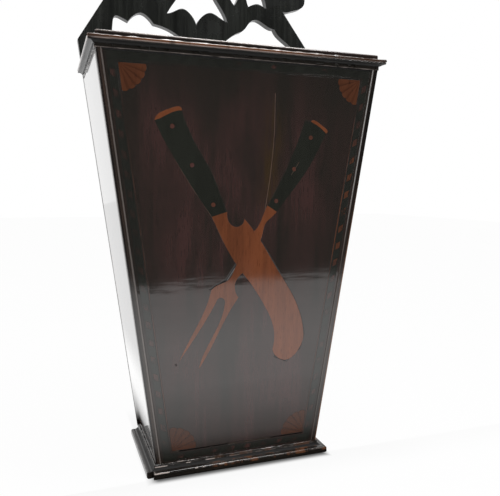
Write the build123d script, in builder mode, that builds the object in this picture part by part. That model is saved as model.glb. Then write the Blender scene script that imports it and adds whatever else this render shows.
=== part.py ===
"""Hanging knife box: a tapered mahogany case with a pierced backboard and a hinged lid.

Millimetres, +Z up, -Y to the front. The origin is the centre of the whole box at the level
of its base, so the back of the case stands at y = BACK_Y.
"""
import os
from math import atan, cos, hypot, radians, sin

from build123d import *

os.makedirs("parts", exist_ok=True)

# --- Case: outside sizes between the base moulding and the cornice --------------------------
BASE_H = 12.6  # height of the base moulding
CASE_H = 412.8  # from the top of the base moulding to the bottom of the cornice
BOTTOM_W = 184.2  # width at the top of the base moulding
TOP_W = 292.6  # width at the bottom of the cornice
BOTTOM_D = 130.4  # depth of the sides at the top of the base moulding
TOP_D = 156.3  # depth of the sides at the bottom of the cornice
CORNICE_H = 10.6
CORNICE_OUT = 6.9  # how far the cornice stands out from the case
BASE_OUT = 9.9  # how far the base moulding stands out from the case
BASE_SHORT = 20.0  # how far in front of the back its side pieces end

# --- Sections of the mouldings --------------------------------------------------------------
FRIEZE_OUT = 0.8  # how far the cornice's plain band stands out
CORNICE_HOLLOW_H = 1.6
LIP_T = 3.2
LIP_BEAD = 1.8  # height of the half round under the lip
LIP_BEAD_IN = 0.4  # how far it stands back from the lip
LIP_ROUND = 0.6
LIP_CHAMFER = 0.8
LIP_UNDERSIDE = 0.6  # flat between the hollow and the half round
STEP = 1.0  # flat beside a hollow
PLINTH_BAND_OUT = 1.6  # the plain band at the top of the base moulding
PLINTH_BAND_H = 2.4
BASE_HOLLOW_H = 2.8
NOSE_R = 2.0  # rounding of the base moulding's step
WORN = 0.7  # wear of the base moulding's edges

# --- Damage at the left front corner --------------------------------------------------------
# Plan of the corner that is broken off the base moulding, from the tip of its mitre.
BROKEN_CORNER = [(-1, -1), (7.2, -1), (6.4, 2.6), (7, 6.6), (3.2, 5.8), (-1, 6.3)]
CHIP_LENGTH = 27.0  # of the hollow chip in the cornice's lip
CHIP_R = 3.0
CHIP_FROM_END = 11.0  # from the cornice's left end to the chip's middle
CHIP_FORWARD = 0.8  # the chip's axis lies in front of the lip
CHIP_DROP = 4.6  # and this far below the top of the case

# --- Boards ---------------------------------------------------------------------------------
SIDE_T = 8.0
FRONT_T = 9.0
BOTTOM_T = 8.0
BACKBOARD_T = 10.0

# --- Beads that protect the front corners ---------------------------------------------------
BEAD_W = 6.4
BEAD_DEPTH = 3.0  # let into the front board
BEAD_PROUD = 0.7  # stands out from the front board
BEAD_ROUND = 0.6

# --- Lid and its hinges ---------------------------------------------------------------------
LID_T = 5.5
LID_BEYOND = 0.1  # how far the lid's edges pass the case line at the cornice
LID_ROUND = 1.6
HINGE_X = 84.0
HINGE_W = 38.0
LEAF_L = 16.0
LEAF_T = 1.2
KNUCKLE_R = 1.9
KNUCKLE_SPLIT = 15.4  # length of the middle knuckle
KNUCKLE_GAP = 0.3
HINGE_GAP = 0.2  # between a knuckle and the wood beside it
PIN_R = 1.1
PIN_CLEARANCE = 0.05
SCREW_HEAD_R = 1.7
SCREW_SHANK_R = 0.8
LID_SCREW_L = 4.6
BACK_SCREW_L = 8.0
SCREW_SPACING = 13.0
SCREW_INSET = 4.6  # of the outer screws from the leaf's free edge
SCREW_STAGGER = 3.0  # the middle screw sits this much nearer to the knuckle

# --- Nails, pins and glue blocks ------------------------------------------------------------
NAIL_R = 0.9
NAIL_HEAD_R = 1.6
NAIL_HEAD_T = 0.8
NAIL_HEAD_SINK = 0.4  # below the slanting face of a side
NAIL_L = 26.0
NAIL_CLEARANCE = 0.03
BACK_NAILS = 5  # down each side of the backboard
BACK_NAIL_FOOT = 30.0  # the lowest one, above the base
BACK_NAIL_HEAD = 25.0  # the highest one, below the cornice
BOTTOM_NAILS = 3  # through each side into the bottom board
BLOCK_LEG = 15.0
BLOCK_L = 34.0
BLOCK_SPACING = 62.0

# --- Backboard above the lid ----------------------------------------------------------------
FRET_X = -8.0  # the pierced crest is cut a little off the centre of the case
SHOULDER_L = 33.2  # heights above the case where the board's edges turn inwards
SHOULDER_R = 24.4
CREST_H = 198.0  # height of the crest above the case
HANGING_HOLE_R = 5.0
HANGING_HOLE_DROP = 23.0  # from the top of the crest

# --- Inlay on the front board ---------------------------------------------------------------
INLAY_T = 1.2
GLUE_LINE = 0.08  # between an inlay and its pocket
STRING_W = 1.1
STRING_IN = 17.7  # from the case's edge to the middle of the side stringing
STRING_DOWN = 10.4  # from the cornice to the middle of the top stringing
STRING_FOOT = 11.0  # from the base moulding to the middle of the bottom stringing
BAND_W = 7.6
BAND_IN = 12.8  # from the case's edge to the middle of the side banding
BAND_DOWN = 5.2
BAND_FOOT = 5.4
BAND_PITCH = 18.6
CHECK_L = 7.0
CHECK_W = 4.6
CHECK_SLANT = 3.0
FAN_R = 25.0
FAN_LEAVES = 5
FAN_SCALLOP = 1.2  # how far each leaf's end bulges
FAN_MARGIN = 0.6  # between the fans and the stringing
RIVET_R = 2.3

# --- Values that follow ---------------------------------------------------------------------
SIDE_SLOPE = (TOP_W - BOTTOM_W) / 2 / CASE_H
FRONT_SLOPE = (TOP_D - BOTTOM_D) / CASE_H
SIDE_ANGLE = atan(SIDE_SLOPE)
FRONT_ANGLE = atan(FRONT_SLOPE)
CORNICE_Z = BASE_H + CASE_H
CASE_TOP = CORNICE_Z + CORNICE_H
LID_TOP = CASE_TOP + LID_T
BACK_Y = (TOP_D + CORNICE_OUT - BACKBOARD_T) / 2
FRONT_LENGTH = hypot(CASE_H, TOP_D - BOTTOM_D)  # up the slope of the front
STRING_TOP = FRONT_LENGTH - STRING_DOWN
BAND_TOP = FRONT_LENGTH - BAND_DOWN
HINGE_Y = BACK_Y - KNUCKLE_R - HINGE_GAP
HINGE_Z = LID_TOP + KNUCKLE_R + HINGE_GAP
FAR = 700.0  # longer than anything in the box


def half_width(z):
    """Half the case's outside width at height z."""
    return BOTTOM_W / 2 + (z - BASE_H) * SIDE_SLOPE


def front_y(z):
    """Where the outside of the front board is at height z."""
    return BACK_Y - BOTTOM_D - (z - BASE_H) * FRONT_SLOPE


def half_front(v):
    """Half the front's width at a distance v up its slope from the base moulding."""
    return BOTTOM_W / 2 + v * (TOP_W - BOTTOM_W) / 2 / FRONT_LENGTH


# Outside faces of the case, each with its normal outwards. On front_face x runs to the right
# and y runs up the slope from the top of the base moulding.
front_face = Plane((0, BACK_Y - BOTTOM_D, BASE_H), (1, 0, 0), (0, -cos(FRONT_ANGLE), -sin(FRONT_ANGLE)))
left_face = Plane((-BOTTOM_W / 2, BACK_Y, BASE_H), (0, -1, 0), (-cos(SIDE_ANGLE), 0, -sin(SIDE_ANGLE)))
right_face = Plane((BOTTOM_W / 2, BACK_Y, BASE_H), (0, 1, 0), (cos(SIDE_ANGLE), 0, -sin(SIDE_ANGLE)))
back_face = Plane((0, BACK_Y, 0), (1, 0, 0), (0, -1, 0))  # front of the backboard, x right, y up
back_of_case = Plane((0, BACK_Y, 0), (1, 0, 0), (0, 1, 0))
# Upright mitre planes through the front corners; the front moulding is on their positive side.
mitre_left = Plane((-BOTTOM_W / 2, BACK_Y - BOTTOM_D, 0), (0, 0, 1), (1, -1, 0))
cornice_mitre = Plane((-TOP_W / 2, BACK_Y - TOP_D, 0), (0, 0, 1), (1, -1, 0))


def save(builder, name):
    """Label a finished sub-part and write it."""
    builder.part.label = name
    export_step(builder.part, f"parts/{name}.step")


def trim(*cuts):
    """Cut the part being built by planes, keeping the inside of each."""
    for plane in cuts:
        split(bisect_by=plane, keep=Keep.BOTTOM)


def mirrored(builder):
    """The same piece for the right-hand side."""
    with BuildPart() as other:
        mirror(builder.part, about=Plane.YZ)
    return other


def nail_at(plane, length=NAIL_L, radius=NAIL_R, head_radius=NAIL_HEAD_R, clearance=0.0):
    """A nail or screw with its head at the plane's origin, or with a clearance its hole."""
    with BuildPart() as nail:
        with BuildSketch(plane):
            Circle(radius + clearance)
        extrude(amount=-length - clearance)
        with BuildSketch(plane):
            Circle(head_radius + clearance)
        extrude(amount=-NAIL_HEAD_T - clearance)
        if clearance:
            with BuildSketch(plane):
                Circle(head_radius + clearance)
            extrude(amount=NAIL_HEAD_SINK * 2)
    return nail.part


# --- Where the nails and screws go ----------------------------------------------------------
def back_nail_planes():
    step = (CORNICE_Z - BACK_NAIL_HEAD - BACK_NAIL_FOOT) / (BACK_NAILS - 1)
    planes = []
    for row in range(BACK_NAILS):
        z = BACK_NAIL_FOOT + row * step
        x = half_width(z) - SIDE_T / 2
        for side in (-1, 1):
            planes.append(Plane((side * x, BACK_Y + BACKBOARD_T, z), (1, 0, 0), (0, 1, 0)))
    return planes


def bottom_nail_planes():
    z = BOTTOM_T / 2  # the base moulding covers their heads
    reach = BOTTOM_D - 2 * SIDE_T
    planes = []
    for row in range(BOTTOM_NAILS):
        forward = SIDE_T + (row + 0.5) * reach / BOTTOM_NAILS
        for side in (-1, 1):
            head = side * (half_width(z) - NAIL_HEAD_SINK)
            planes.append(Plane((head, BACK_Y - forward, z), (0, 1, 0), (side, 0, 0)))
    return planes


def leaf_screw_offsets():
    """Screw places on a leaf: along the hinge, and out from its axis."""
    outer = LEAF_L - SCREW_INSET
    return [(-SCREW_SPACING, outer), (0, outer - SCREW_STAGGER), (SCREW_SPACING, outer)]


def fixed_leaf_screw_planes():
    return [
        Plane((side * HINGE_X + along, BACK_Y - LEAF_T, HINGE_Z + out), (1, 0, 0), (0, -1, 0))
        for side in (-1, 1)
        for along, out in leaf_screw_offsets()
    ]


def lid_leaf_screw_planes():
    return [
        Plane((side * HINGE_X + along, HINGE_Y - out, LID_TOP + LEAF_T), (1, 0, 0), (0, 0, 1))
        for side in (-1, 1)
        for along, out in leaf_screw_offsets()
    ]


def drive(planes, **sizes):
    """Add a fastener at each plane to the part being built."""
    for plane in planes:
        add(nail_at(plane, **sizes))


def drill(planes, **sizes):
    """Cut the fasteners' holes from the part being built."""
    for plane in planes:
        add(nail_at(plane, clearance=NAIL_CLEARANCE, **sizes), mode=Mode.SUBTRACT)


BACK_SCREW = dict(length=BACK_SCREW_L, radius=SCREW_SHANK_R, head_radius=SCREW_HEAD_R)
LID_SCREW = dict(length=LID_SCREW_L, radius=SCREW_SHANK_R, head_radius=SCREW_HEAD_R)


# --- Backboard ------------------------------------------------------------------------------
def above(points):
    """Points with heights above the case, moved to the case's frame."""
    return [(x, CASE_TOP + height) for x, height in points]


def fret(points):
    """Points measured from the middle of the fret, moved to the case's frame."""
    return above([(FRET_X + x, height) for x, height in points])


def flip(points):
    """The same points on the other side of the fret's middle, in the opposite order."""
    return [(-x, height) for x, height in reversed(points)]


# One side of the crest, from the notch under the ear up to the middle.
NOTCH = (105.9, 93.4)
EAR = [NOTCH, (113.0, 89.0), (122.0, 91.3), (138.3, 99.7), (138.0, 114.0), (124.0, 122.0), (104.0, 120.0)]
HOLLOW = [(104.0, 120.0), (88.0, 126.0), (80.0, 141.0)]
SHOULDER_SCROLL = [(80.0, 141.0), (76.0, 157.0), (60.0, 163.0), (44.0, 157.0)]
CREST_HOLLOW = [(44.0, 157.0), (36.0, 164.0), (34.0, 174.0)]

with BuildSketch(back_face) as backboard_outline:
    with BuildLine():
        right_notch, left_notch = fret([NOTCH, *flip([NOTCH])])
        left_shoulder, right_shoulder = CASE_TOP + SHOULDER_L, CASE_TOP + SHOULDER_R
        Polyline(
            left_notch,
            (-half_width(left_shoulder), left_shoulder),
            (-half_width(0), 0),
            (half_width(0), 0),
            (half_width(right_shoulder), right_shoulder),
            right_notch,
        )
        for curve in (EAR, HOLLOW, SHOULDER_SCROLL, CREST_HOLLOW):
            Spline(*fret(curve))
            Spline(*fret(flip(curve)))
        ThreePointArc(*fret([CREST_HOLLOW[-1], (0, CREST_H), *flip(CREST_HOLLOW[-1:])]))
    make_face()

# Piercings. The two low ones differ a little, as the hand-cut board does.
LEFT_ARCH = [(-64.6, 58.3), (-70.0, 64.6), (-79.4, 69.7), (-88.0, 65.8), (-94.5, 58.5)]
LEFT_CORNER = [(-94.5, 58.5), (-101.7, 61.8), (-109.2, 63.4), (-112.6, 54.0), (-114.5, 42.0)]
RIGHT_ARCH = [(44.7, 59.0), (51.0, 64.2), (58.4, 73.2), (64.6, 75.6), (74.0, 72.6), (90.0, 66.8)]
RIGHT_CORNER = [(90.0, 66.8), (97.8, 57.2), (110.2, 48.4), (117.0, 41.0)]
LEFT_STEM = [(-24.0, 37.0), (-37.7, 49.2), (-50.4, 55.1), (-64.6, 58.3)]
RIGHT_STEM = [(14.0, 37.0), (28.2, 48.9), (37.0, 55.3), (44.7, 59.0)]
LEFT_SILL = [(-114.5, 42.0), (-104.0, 33.0), (-66.0, 29.5), (-24.0, 37.0)]
RIGHT_SILL = [(14.0, 37.0), (62.0, 29.5), (108.0, 32.0), (117.0, 41.0)]

MIDDLE_LEFT_LOBE = [(-48.4, 72.2), (-38.0, 76.2), (-30.0, 79.4), (-20.4, 74.7), (-12.5, 61.6)]
MIDDLE_RIGHT_LOBE = [(-12.5, 61.6), (-4.3, 73.4), (5.6, 78.1), (16.6, 73.8), (27.2, 69.0)]
MIDDLE_LEFT_SIDE = [(-48.4, 72.2), (-43.1, 80.7), (-33.0, 95.0), (-22.0, 120.0)]
MIDDLE_RIGHT_SIDE = [(27.2, 69.0), (20.2, 83.6), (10.5, 98.0), (6.0, 120.0)]
MIDDLE_TOP = [(-22.0, 120.0), (-8.0, 136.0), (6.0, 120.0)]

LEAF_SIDE = [(44.1, 90.0), (37.0, 104.0), (40.0, 116.0)]
LEAF_OUTER = [(44.1, 90.0), (50.0, 102.0), (50.0, 116.0)]
LEAF_TOP = [(40.0, 116.0), (45.0, 120.0), (50.0, 116.0)]
COMMA_FOOT = [(62.6, 90.6), (69.4, 93.9), (75.1, 95.1), (80.0, 93.8), (86.8, 90.6)]
COMMA_SIDE = [(62.6, 90.6), (59.8, 100.0), (62.0, 114.0)]
COMMA_OUTER = [(86.8, 90.6), (83.0, 105.0), (76.0, 116.0)]
COMMA_TOP = [(62.0, 114.0), (68.0, 121.0), (76.0, 116.0)]


def closed_shape(*curves):
    """The flat shape inside the curves; a pair of points is a straight cut."""
    with BuildSketch() as shape:
        with BuildLine():
            for curve in curves:
                if len(curve) == 2:
                    Line(*curve)
                else:
                    Spline(*curve)
        make_face()
    return shape.sketch


def pierce(*curves):
    """Cut a closed shape from the board being drawn."""
    add(closed_shape(*curves), mode=Mode.SUBTRACT)


with BuildPart() as backboard:
    with BuildSketch(back_face):
        add(backboard_outline.sketch_local)
        for piercing in (
            (LEFT_ARCH, LEFT_CORNER, LEFT_SILL, LEFT_STEM),
            (RIGHT_ARCH, RIGHT_CORNER, RIGHT_SILL, RIGHT_STEM),
            (MIDDLE_LEFT_LOBE, MIDDLE_RIGHT_LOBE, MIDDLE_RIGHT_SIDE, MIDDLE_TOP, MIDDLE_LEFT_SIDE),
        ):
            pierce(*[above(curve) for curve in piercing])
        for side in (lambda points: points, flip):
            pierce(*[fret(side(curve)) for curve in (LEAF_SIDE, LEAF_OUTER, LEAF_TOP)])
            pierce(*[fret(side(curve)) for curve in (COMMA_FOOT, COMMA_SIDE, COMMA_OUTER, COMMA_TOP)])
        with Locations(*fret([(0, CREST_H - HANGING_HOLE_DROP)])):
            Circle(HANGING_HOLE_R, mode=Mode.SUBTRACT)
    extrude(amount=-BACKBOARD_T)
    drill(back_nail_planes())
    drill(fixed_leaf_screw_planes(), **BACK_SCREW)
save(backboard, "backboard")

# --- Sides, bottom and glue blocks ----------------------------------------------------------
top_of_case = Plane((0, 0, CASE_TOP), (1, 0, 0), (0, 0, 1))
foot_of_case = Plane((0, 0, 0), (1, 0, 0), (0, 0, -1))
behind_front = front_face.offset(-FRONT_T)

with BuildPart() as left_side:
    with BuildSketch(left_face):
        Rectangle(FAR, FAR * 2)
    extrude(amount=-SIDE_T)
    trim(top_of_case, foot_of_case, behind_front, back_of_case)
    drill(back_nail_planes())
    drill(bottom_nail_planes())
save(left_side, "left_side")
save(mirrored(left_side), "right_side")

inside_of_sides = (left_face.offset(-SIDE_T), right_face.offset(-SIDE_T))

with BuildPart() as bottom_board:
    with BuildSketch(Plane.XY):
        Rectangle(TOP_W, 2 * TOP_D)
    extrude(amount=BOTTOM_T)
    trim(*inside_of_sides, behind_front, back_of_case)
    drill(bottom_nail_planes())
save(bottom_board, "bottom_board")


def block_section(z):
    """Inner face of the side board at height z, measured from the middle of the box."""
    return half_width(z) - SIDE_T / cos(SIDE_ANGLE)


with BuildPart() as glue_blocks:
    block_middle = BACK_Y - BOTTOM_D / 2
    for forward in (-BLOCK_SPACING / 2, BLOCK_SPACING / 2):
        with BuildSketch(Plane((0, block_middle + forward + BLOCK_L / 2, 0), (1, 0, 0), (0, -1, 0))):
            with BuildLine():
                foot = (-block_section(BOTTOM_T), BOTTOM_T)
                top = (-block_section(BOTTOM_T + BLOCK_LEG), BOTTOM_T + BLOCK_LEG)
                Polyline(foot, top, (foot[0] + BLOCK_LEG, BOTTOM_T), close=True)
            make_face()
        extrude(amount=BLOCK_L)
    mirror(about=Plane.YZ)
save(glue_blocks, "glue_blocks")

# --- Knife and fork, measured from the middle of the front ----------------------------------
KNIFE_CAP_LINE = [(-92.6, 144.9), (-87.6, 146.8), (-79.7, 151.0), (-66.4, 155.0)]
KNIFE_CAP_END = [
    KNIFE_CAP_LINE[0], (-90.4, 149.6), (-82.5, 154.6), (-75.1, 157.4), (-67.6, 158.0), KNIFE_CAP_LINE[-1]
]
KNIFE_BOLSTER = [(-34.9, 52.0), (-19.1, 57.0)]
KNIFE_HANDLE_LEFT = [KNIFE_CAP_LINE[0], (-86.8, 132.4), (-72.9, 108.4), (-54.5, 79.7), (-34.9, 52.0)]
KNIFE_HANDLE_RIGHT = [
    KNIFE_CAP_LINE[-1], (-60.4, 139.4), (-49.8, 119.2), (-36.1, 97.0), (-27.4, 77.0), KNIFE_BOLSTER[1]
]
KNIFE_RIVETS = [(-75.6, 139.8), (-55.8, 103.2), (-33.7, 64.2)]
BLADE_BACK = [
    KNIFE_BOLSTER[0], (-23.3, 28.2), (-9.0, 3.7), (8.4, -18.8), (23.5, -41.9), (33.2, -60.8), (35.4, -92.7)
]
BLADE_TIP = [(35.4, -92.7), (40.6, -102.2), (51.8, -106.6), (64.6, -98.4), (71.4, -76.9)]
BLADE_EDGE = [(71.4, -76.9), (68.0, -59.8), (59.2, -38.5), (35.4, -0.8), (11.7, 35.5), (-0.5, 49.6)]
BLADE_HEEL = [(-0.5, 49.6), (-4.0, 42.8), (-9.3, 41.4), (-15.2, 44.4), (-18.6, 50.5), (-19.1, 57.0)]

FORK_CAP_LINE = [(70.5, 150.2), (76.0, 147.6), (82.6, 143.6), (88.6, 138.6)]
FORK_CAP_END = [
    FORK_CAP_LINE[0], (72.0, 151.6), (78.0, 150.2), (84.8, 145.8), (90.2, 141.0), FORK_CAP_LINE[-1]
]
FORK_BOLSTER = [(24.5, 63.3), (35.3, 56.5)]
FORK_TOP = [(63.6, 151.4), FORK_CAP_LINE[0]]
FORK_HANDLE_LEFT = [FORK_TOP[0], (55.7, 127.7), (46.0, 104.3), (24.5, 63.3)]
FORK_HANDLE_RIGHT = [FORK_CAP_LINE[-1], (82.3, 125.7), (68.7, 100.8), (52.0, 78.2), (35.3, 56.5)]
FORK_RIVETS = [(70.9, 133.9), (53.3, 101.1), (34.3, 67.9)]
SHANK_LEFT = [(24.5, 63.3), (21.0, 55.3), (17.5, 46.2), (5.0, 33.2)]
SHANK_RIGHT = [(35.3, 56.5), (27.5, 49.2), (22.6, 43.8), (20.3, 35.3), (10.0, 21.2)]
SHANK_END = [(5.0, 33.2), (10.0, 21.2)]
NECK_END = [(-2.0, 9.2), (10.0, -2.8)]
NECK_LEFT = [(-2.0, 9.2), (-9.5, -1.8), (-16.9, -14.4), (-25.8, -18.0), (-34.6, -24.0)]
TINE_LEFT_OUTSIDE = [(-34.6, -24.0), (-38.0, -36.2), (-54.5, -70.7), (-67.6, -96.9)]
TINE_LEFT_INSIDE = [(-67.6, -96.9), (-57.0, -81.4), (-36.0, -48.8), (-27.7, -33.4)]
CROTCH = [(-27.7, -33.4), (-23.6, -32.2), (-19.6, -36.0)]
TINE_RIGHT_INSIDE = [(-19.6, -36.0), (-21.9, -49.9), (-32.6, -73.8), (-46.8, -107.0)]
TINE_RIGHT_OUTSIDE = [(-46.8, -107.0), (-35.1, -87.5), (-21.7, -61.0), (-5.0, -33.2)]
NECK_RIGHT = [(-5.0, -33.2), (-8.6, -26.1), (-9.2, -19.3), (-4.6, -10.3), (10.0, -2.8)]


def from_middle(points):
    """Points measured from the middle of the front, moved to the front's own frame."""
    return [(x, FRONT_LENGTH / 2 + v) for x, v in points]


def on_front(*curves):
    """A closed shape drawn from the middle of the front."""
    return closed_shape(*[from_middle(curve) for curve in curves])


knife_cap = on_front(KNIFE_CAP_LINE, KNIFE_CAP_END)
knife_handle = on_front(KNIFE_CAP_LINE, KNIFE_HANDLE_LEFT, KNIFE_HANDLE_RIGHT, KNIFE_BOLSTER)
knife_blade = on_front(KNIFE_BOLSTER, BLADE_BACK, BLADE_TIP, BLADE_EDGE, BLADE_HEEL)
fork_cap = on_front(FORK_CAP_LINE, FORK_CAP_END)
fork_handle = on_front(FORK_TOP, FORK_CAP_LINE, FORK_HANDLE_LEFT, FORK_HANDLE_RIGHT, FORK_BOLSTER)
fork_shank = on_front(FORK_BOLSTER, SHANK_LEFT, SHANK_END, SHANK_RIGHT)
fork_tines = on_front(
    NECK_END,
    NECK_LEFT,
    TINE_LEFT_OUTSIDE,
    TINE_LEFT_INSIDE,
    CROTCH,
    TINE_RIGHT_INSIDE,
    TINE_RIGHT_OUTSIDE,
    NECK_RIGHT,
)


def dots(points, radius):
    """Round inlays of one size."""
    with BuildSketch() as shape:
        with Locations(*from_middle(points)):
            Circle(radius)
    return shape.sketch


def without(shape, *others):
    """A shape with the others cut out of it."""
    with BuildSketch() as rest:
        add(shape)
        for other in others:
            add(other, mode=Mode.SUBTRACT)
    return rest.sketch


def swollen(shape):
    """A pocket's outline: the inlay and the glue line round it."""
    with BuildSketch() as pocket:
        for face in shape.faces():
            add(offset(face, amount=GLUE_LINE, kind=Kind.ARC, mode=Mode.PRIVATE))
    return pocket.sketch


def side_strip(inset, width, low, high):
    """A strip that follows the left edge of the front, its middle at the inset from it."""
    with BuildSketch() as strip:
        with BuildLine():
            corners = [(-half_front(v) + inset + out, v) for v, out in (
                (low, -width / 2), (low, width / 2), (high, width / 2), (high, -width / 2))]
            Polyline(*corners, close=True)
        make_face()
    return strip.sketch


def level_strip(inset, middle, width):
    """A strip across the front between two side insets."""
    low, high = middle - width / 2, middle + width / 2
    with BuildSketch() as strip:
        with BuildLine():
            reach_low, reach_high = half_front(low) - inset, half_front(high) - inset
            Polyline((-reach_low, low), (reach_low, low), (reach_high, high), (-reach_high, high), close=True)
        make_face()
    return strip.sketch


def check(x, v, along):
    """One slanting light check of the banding, along a direction on the front."""
    half_run = along * (CHECK_L / 2)
    half_rise = Vector(-along.Y, along.X) * (CHECK_W / 2) + along * (CHECK_SLANT / 2)
    middle = Vector(x, v)
    corners = [
        middle - half_run - half_rise,
        middle + half_run - half_rise,
        middle + half_run + half_rise,
        middle - half_run + half_rise,
    ]
    with BuildSketch() as shape:
        with BuildLine():
            Polyline(*[(p.X, p.Y) for p in corners], close=True)
        make_face()
    return shape.sketch


def joined(shapes):
    with BuildSketch() as group:
        for shape in shapes:
            add(shape)
    return group.sketch


def side_checks():
    """Checks up the left banding."""
    along = Vector(half_front(0) - half_front(FRONT_LENGTH), FRONT_LENGTH).normalized()
    room = BAND_TOP - BAND_FOOT - BAND_W
    count = int(room / BAND_PITCH)
    start = (BAND_TOP + BAND_FOOT) / 2 - (count - 1) * BAND_PITCH / 2
    heights = [start + row * BAND_PITCH for row in range(count)]
    return joined([check(BAND_IN - half_front(v), v, along) for v in heights])


def level_checks(v):
    """Checks along a level banding."""
    room = 2 * (half_front(v) - BAND_IN)
    count = int(room / BAND_PITCH)
    start = -(count - 1) * BAND_PITCH / 2
    return joined([check(start + column * BAND_PITCH, v, Vector(1, 0)) for column in range(count)])


def fan(v, up):
    """Leaves of the quarter fan in a left-hand corner; up is 1 at the foot and -1 at the top."""
    centre = Vector(-half_front(v) + STRING_IN + STRING_W / 2 + FAN_MARGIN, v)
    edge_lean = atan((half_front(FRONT_LENGTH) - half_front(0)) / FRONT_LENGTH)
    spread = radians(90) + up * edge_lean
    leaves = []
    for leaf in range(FAN_LEAVES):
        turns = [spread * (leaf + share) / FAN_LEAVES for share in (0, 0.5, 1)]
        reaches = (FAN_R, FAN_R + FAN_SCALLOP, FAN_R)
        rim = [(centre.X + r * cos(t), centre.Y + up * r * sin(t)) for r, t in zip(reaches, turns)]
        with BuildSketch() as shape:
            with BuildLine():
                Line((centre.X, centre.Y), rim[0])
                ThreePointArc(*rim)
                Line(rim[2], (centre.X, centre.Y))
            make_face()
            offset(amount=-GLUE_LINE / 2, kind=Kind.INTERSECTION, mode=Mode.REPLACE)
        leaves.append(shape.sketch)
    return joined(leaves)


def across(shape):
    """The same inlay on the other side of the front."""
    with BuildSketch() as other:
        mirror(shape, about=Plane.YZ)
    return other.sketch


string_side = side_strip(STRING_IN, STRING_W, STRING_FOOT - STRING_W / 2, STRING_TOP + STRING_W / 2)
string_between = STRING_IN + STRING_W / 2 + GLUE_LINE * 2
band_end = BAND_W / 2 + GLUE_LINE * 2
band_side = side_strip(BAND_IN, BAND_W, BAND_FOOT + band_end, BAND_TOP - band_end)
fan_gap = STRING_W / 2 + FAN_MARGIN
fan_top = fan(STRING_TOP - fan_gap, -1)
fan_foot = fan(STRING_FOOT + fan_gap, 1)
top_checks = level_checks(BAND_TOP)
foot_checks = level_checks(BAND_FOOT)
left_checks = side_checks()

inlays = {
    "knife_cap": knife_cap,
    "knife_handle": without(knife_handle, dots(KNIFE_RIVETS, RIVET_R)),
    "knife_rivets": dots(KNIFE_RIVETS, RIVET_R - GLUE_LINE),
    "knife_blade": knife_blade,
    "fork_cap": fork_cap,
    "fork_handle": without(fork_handle, dots(FORK_RIVETS, RIVET_R)),
    "fork_rivets": dots(FORK_RIVETS, RIVET_R - GLUE_LINE),
    "fork_prongs": without(joined([fork_shank, fork_tines]), knife_blade),
    "string_left": string_side,
    "string_right": across(string_side),
    "string_top": level_strip(string_between, STRING_TOP, STRING_W),
    "string_foot": level_strip(string_between, STRING_FOOT, STRING_W),
    "band_left": without(band_side, swollen(left_checks)),
    "band_right": without(across(band_side), swollen(across(left_checks))),
    "band_top": without(level_strip(BAND_IN - BAND_W / 2, BAND_TOP, BAND_W), swollen(top_checks)),
    "band_foot": without(level_strip(BAND_IN - BAND_W / 2, BAND_FOOT, BAND_W), swollen(foot_checks)),
    "checks_left": left_checks,
    "checks_right": across(left_checks),
    "checks_top": top_checks,
    "checks_foot": foot_checks,
    "fan_top_left": fan_top,
    "fan_top_right": across(fan_top),
    "fan_foot_left": fan_foot,
    "fan_foot_right": across(fan_foot),
}
# The knife and fork are pressed into pockets of their own shape; the rest has a glue line.
pockets = [knife_cap, knife_handle, knife_blade, fork_cap, fork_handle, fork_shank, fork_tines]
glued = [shape for name, shape in inlays.items() if name.startswith(("string", "fan"))]
glued += [band_side, across(band_side)]
glued += [level_strip(BAND_IN - BAND_W / 2, v, BAND_W) for v in (BAND_TOP, BAND_FOOT)]
pockets += [swollen(shape) for shape in glued]

for name, shape in inlays.items():
    with BuildPart() as inlay:
        with BuildSketch(front_face):
            add(shape)
        extrude(amount=-INLAY_T)
    save(inlay, name)

# --- Front board and the beads at its corners -----------------------------------------------
bead_strip = side_strip(BEAD_W / 2, BEAD_W, -BASE_H, FRONT_LENGTH + CORNICE_H)
bead_ends = (Plane((0, 0, CORNICE_Z), (1, 0, 0), (0, 0, 1)), Plane((0, 0, BASE_H), (1, 0, 0), (0, 0, -1)))

with BuildPart() as bead_room:
    with BuildSketch(front_face):
        add(bead_strip)
        mirror(about=Plane.YZ)
    extrude(amount=-BEAD_DEPTH)
    trim(*bead_ends)

with BuildPart() as front_board:
    with BuildSketch(front_face):
        Rectangle(TOP_W * 2, FAR * 2)
    extrude(amount=-FRONT_T)
    trim(top_of_case, foot_of_case, left_face, right_face)
    add(bead_room.part, mode=Mode.SUBTRACT)
    for shape in pockets:
        with BuildSketch(front_face):
            add(shape)
        extrude(amount=-INLAY_T, mode=Mode.SUBTRACT)
save(front_board, "front_board")

with BuildPart() as left_bead:
    with BuildSketch(front_face.offset(-BEAD_DEPTH)):
        add(bead_strip)
    extrude(amount=BEAD_DEPTH + BEAD_PROUD)
    trim(*bead_ends, left_face)
    proud_face = faces().sort_by(Axis((0, 0, 0), front_face.z_dir))[-1]
    fillet(proud_face.edges().sort_by(SortBy.LENGTH)[-2:], BEAD_ROUND)
save(left_bead, "left_bead")
save(mirrored(left_bead), "right_bead")

# --- Mouldings ------------------------------------------------------------------------------
HOLLOW_BOW = (0.29, 0.72)  # where the middle of a moulding's hollow lies between its ends


def hollow(start, end):
    """Three points of a moulding's hollow."""
    bow = [a + (b - a) * share for a, b, share in zip(start, end, HOLLOW_BOW)]
    return [start, tuple(bow), end]


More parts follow.
